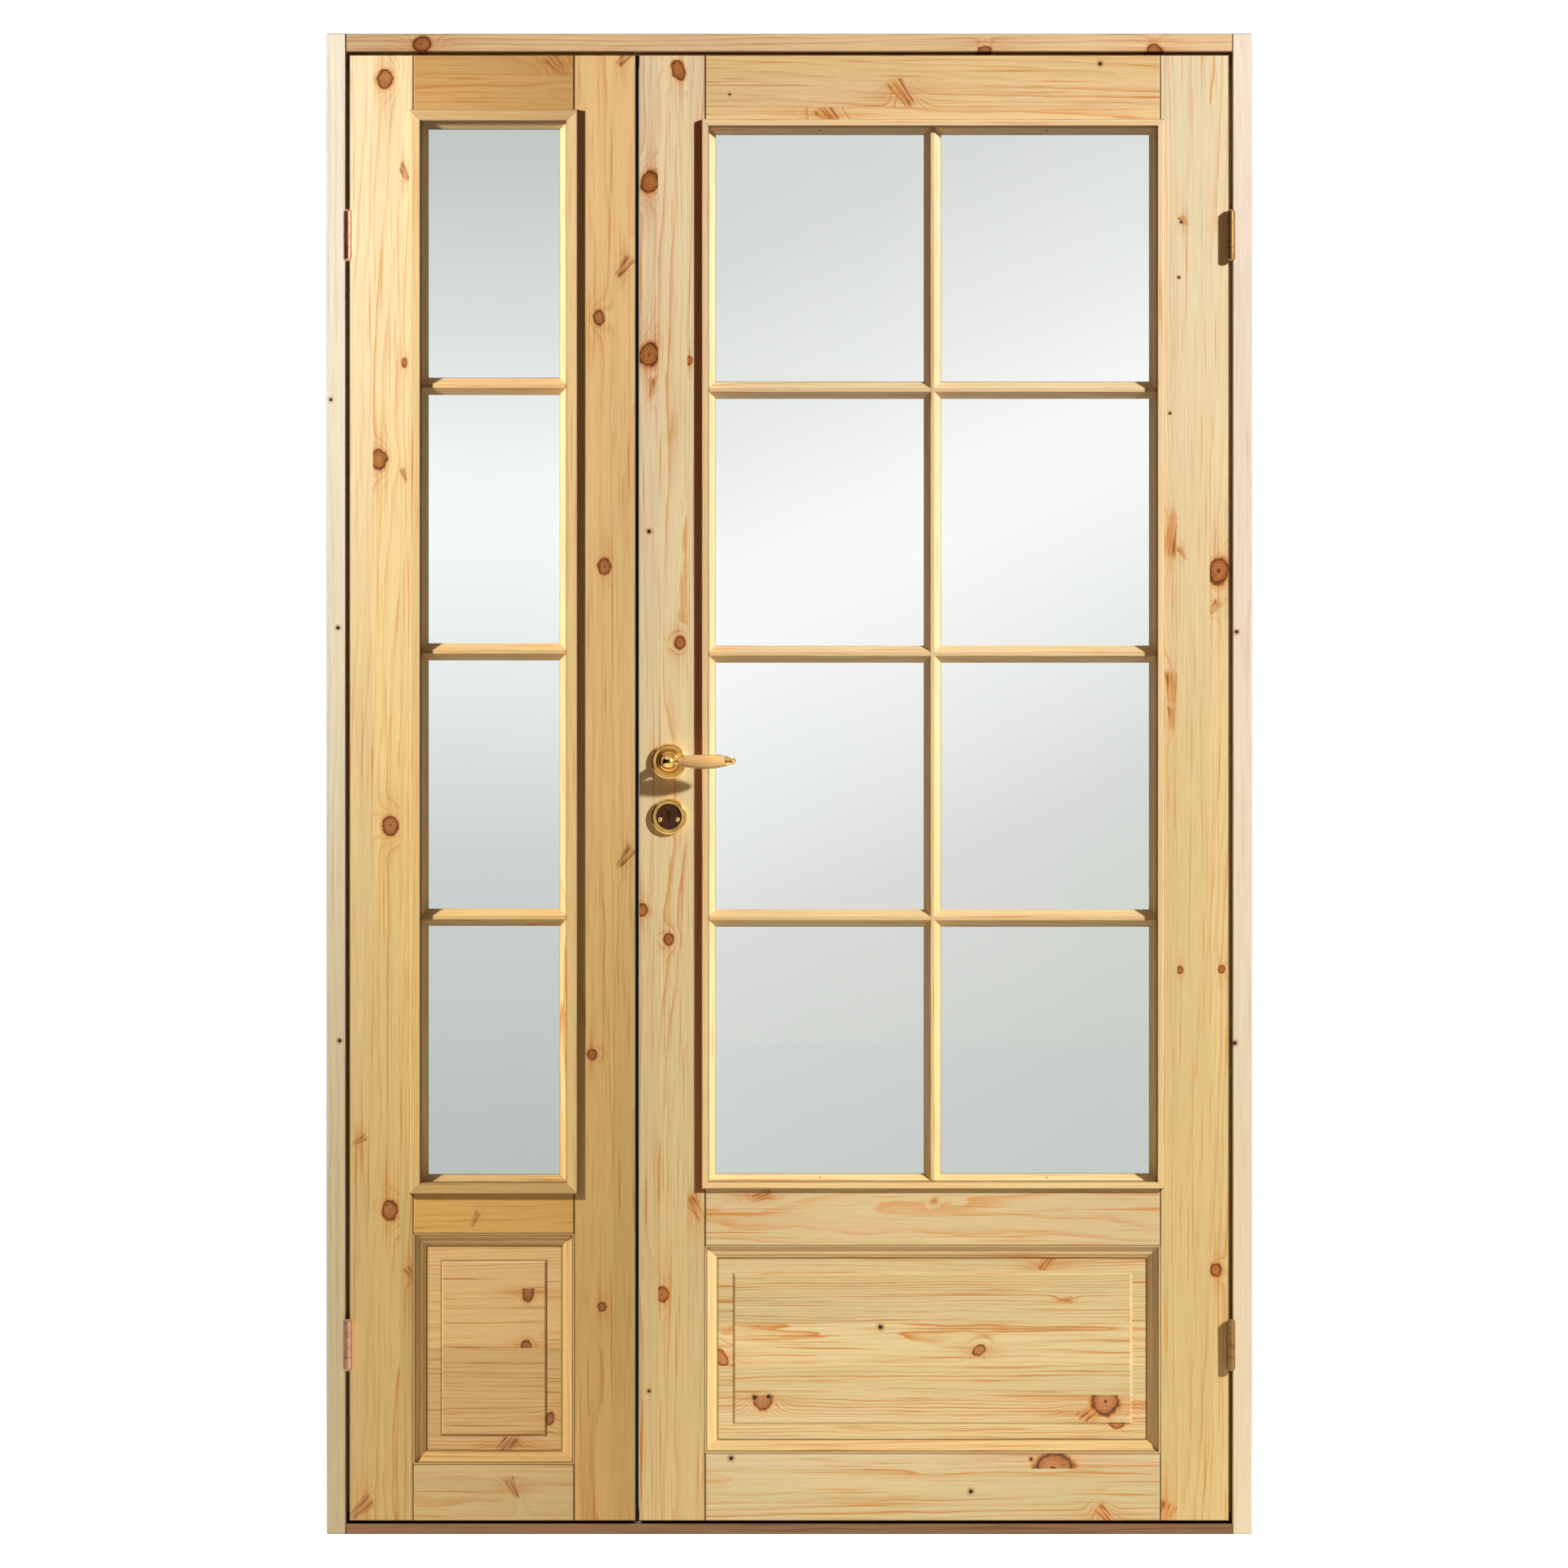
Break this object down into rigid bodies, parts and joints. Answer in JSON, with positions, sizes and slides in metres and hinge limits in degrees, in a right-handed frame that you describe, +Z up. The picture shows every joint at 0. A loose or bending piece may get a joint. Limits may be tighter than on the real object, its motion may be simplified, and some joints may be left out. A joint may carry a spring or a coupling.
{
  "type": "double interior door",
  "caption": "Unequal double interior door in knotty pine: a narrow side leaf and a wide active leaf, glazed with bars above raised panels, in a rebated frame.",
  "frame": {"origin": "on the floor, under the middle of the frame, in the threshold's underside", "axes": "+X to the right seen from the side the doors open to, +Y away from that side, +Z up"},
  "size_m": [1.288, 0.157, 2.089],
  "materials": {
    "frame_pine": "clear lacquer over pale pine",
    "leaf_pine": "satin clear lacquer over knotty pine",
    "threshold_wood": "oiled hardwood",
    "clear_glass": "clear float glass",
    "hinge_brass": "browned brass",
    "handle_brass": "polished brass",
    "dark_brass": "dark satin",
    "grip_pine": "clear lacquer over turned pine",
    "lock_steel": "brushed",
    "seal_rubber": "matte"
  },
  "bodies": {
    "frame": {"left_jamb": "frame_pine", "right_jamb": "frame_pine", "head": "frame_pine", "threshold": "threshold_wood", "side_hinge_frame_halves": "hinge_brass", "active_hinge_frame_halves": "hinge_brass"},
    "side_leaf": {"side_hinge_stile": "leaf_pine", "side_meeting_stile": "leaf_pine", "side_top_rail": "leaf_pine", "side_mid_rail": "leaf_pine", "side_bottom_rail": "leaf_pine", "side_panel": "leaf_pine", "side_panel_mouldings": "leaf_pine", "side_glass": "clear_glass", "side_glazing_beads": "leaf_pine", "side_cross_bars": "leaf_pine", "side_hinge_leaf_halves": "hinge_brass", "side_meeting_seal": "seal_rubber", "strike_plate": "lock_steel"},
    "active_leaf": {"active_hinge_stile": "leaf_pine", "active_lock_stile": "leaf_pine", "active_top_rail": "leaf_pine", "active_mid_rail": "leaf_pine", "active_bottom_rail": "leaf_pine", "active_panel": "leaf_pine", "active_panel_mouldings": "leaf_pine", "active_glass": "clear_glass", "active_glazing_beads": "leaf_pine", "active_cross_bars": "leaf_pine", "active_upright_bars": "leaf_pine", "active_hinge_leaf_halves": "hinge_brass", "lock_forend": "lock_steel", "lock_bolts": "lock_steel", "handle_roses": "handle_brass", "escutcheons": "handle_brass", "escutcheon_inserts": "dark_brass"},
    "lever": {"front_lever": "handle_brass", "back_lever": "handle_brass", "front_grip": "grip_pine", "back_grip": "grip_pine", "grip_caps": "handle_brass", "spindle": "lock_steel"}
  },
  "joints": [
    {"name": "side_leaf_swing", "type": "hinge", "parent": "frame", "child": "side_leaf", "pos_m": [-0.6145, -0.053, 1.039], "axis": [0, 0, -1], "range_deg": [0, 170]},
    {"name": "active_leaf_swing", "type": "hinge", "parent": "frame", "child": "active_leaf", "pos_m": [0.6145, -0.053, 1.039], "axis": [0, 0, 1], "range_deg": [0, 170]},
    {"name": "lever_turn", "type": "hinge", "parent": "active_leaf", "child": "lever", "pos_m": [-0.1675, -0.026, 1.076], "axis": [0, 1, 0], "range_deg": [0, 45], "stiffness_Nm_per_rad": 1.2, "springref_deg": -28.65}
  ]
}
